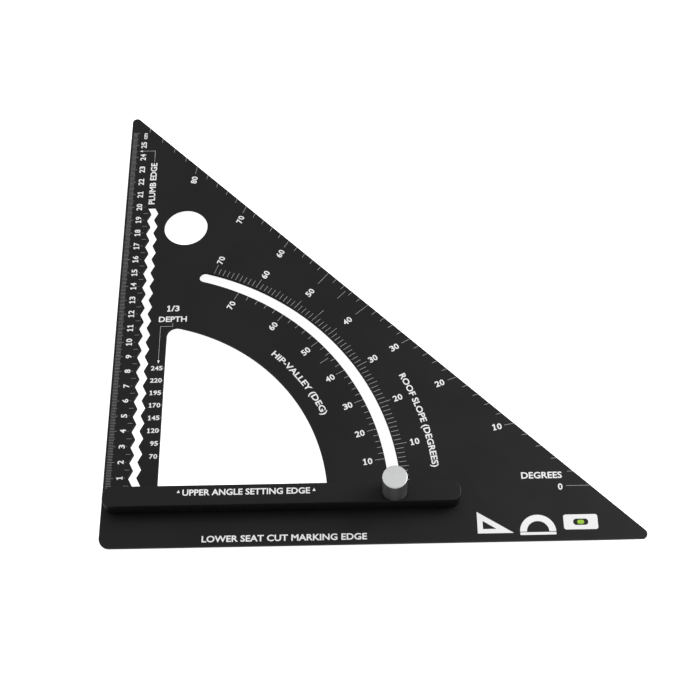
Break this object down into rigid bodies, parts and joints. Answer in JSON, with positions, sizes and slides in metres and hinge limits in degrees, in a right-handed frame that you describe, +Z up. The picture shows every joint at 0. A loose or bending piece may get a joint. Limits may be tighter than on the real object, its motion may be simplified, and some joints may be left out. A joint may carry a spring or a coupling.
{
  "type": "speed square",
  "caption": "Large triangular speed square with angle scales, a pencil slot, a window and a swinging fence clamped by a knurled knob in an arc slot.",
  "frame": {"origin": "under the centre of the plate's bounding square, level with the lower fence bar's underside", "axes": "+Z up through the scale side, +X along the plate's bottom edge away from the right-angled heel, +Y along the ruler edge away from the heel"},
  "size_m": [0.3048, 0.3048, 0.0406],
  "materials": {
    "plate": "matte black anodised",
    "fence": "matte black anodised",
    "knob": "bright turned, diamond knurled",
    "steel": "zinc plated",
    "spring_steel": "plain spring steel",
    "brass": "machined",
    "bronze": "sintered bronze",
    "acetal": "natural white",
    "marking": "white printed marks"
  },
  "bodies": {
    "square": {"plate": "plate", "pivot_bush": "bronze"},
    "fence": {"upper_bar": "fence", "lower_bar": "fence", "pivot_screw": "steel", "pivot_wave_washer": "spring_steel", "pivot_insert": "brass", "pivot_glide_upper": "acetal", "pivot_glide_lower": "acetal", "lock_glide_upper": "acetal", "lock_glide_lower": "acetal", "lock_bolt": "steel", "disc_spring": "spring_steel"},
    "captive_washer": {"thrust_washer": "steel"},
    "clamp_knob": {"knob": "knob", "knob_insert": "brass"}
  },
  "joints": [
    {"name": "fence_swing", "type": "hinge", "parent": "square", "child": "fence", "pos_m": [-0.144, -0.1254, 0.0113], "axis": [0, 0, 1], "range_deg": [0, 73.5]},
    {"name": "knob_lift", "type": "slide", "parent": "fence", "child": "captive_washer", "axis": [0, 0, 1], "range_m": [0, 0.00125]},
    {"name": "knob_turn", "type": "hinge", "parent": "captive_washer", "child": "clamp_knob", "pos_m": [0.013, -0.1254, 0.0315], "axis": [0, 0, 1], "range_deg": [0, 540]}
  ],
  "couplings": [
    {"joint": "knob_lift", "follows": "knob_turn", "m_per_rad": 0.00012732}
  ]
}
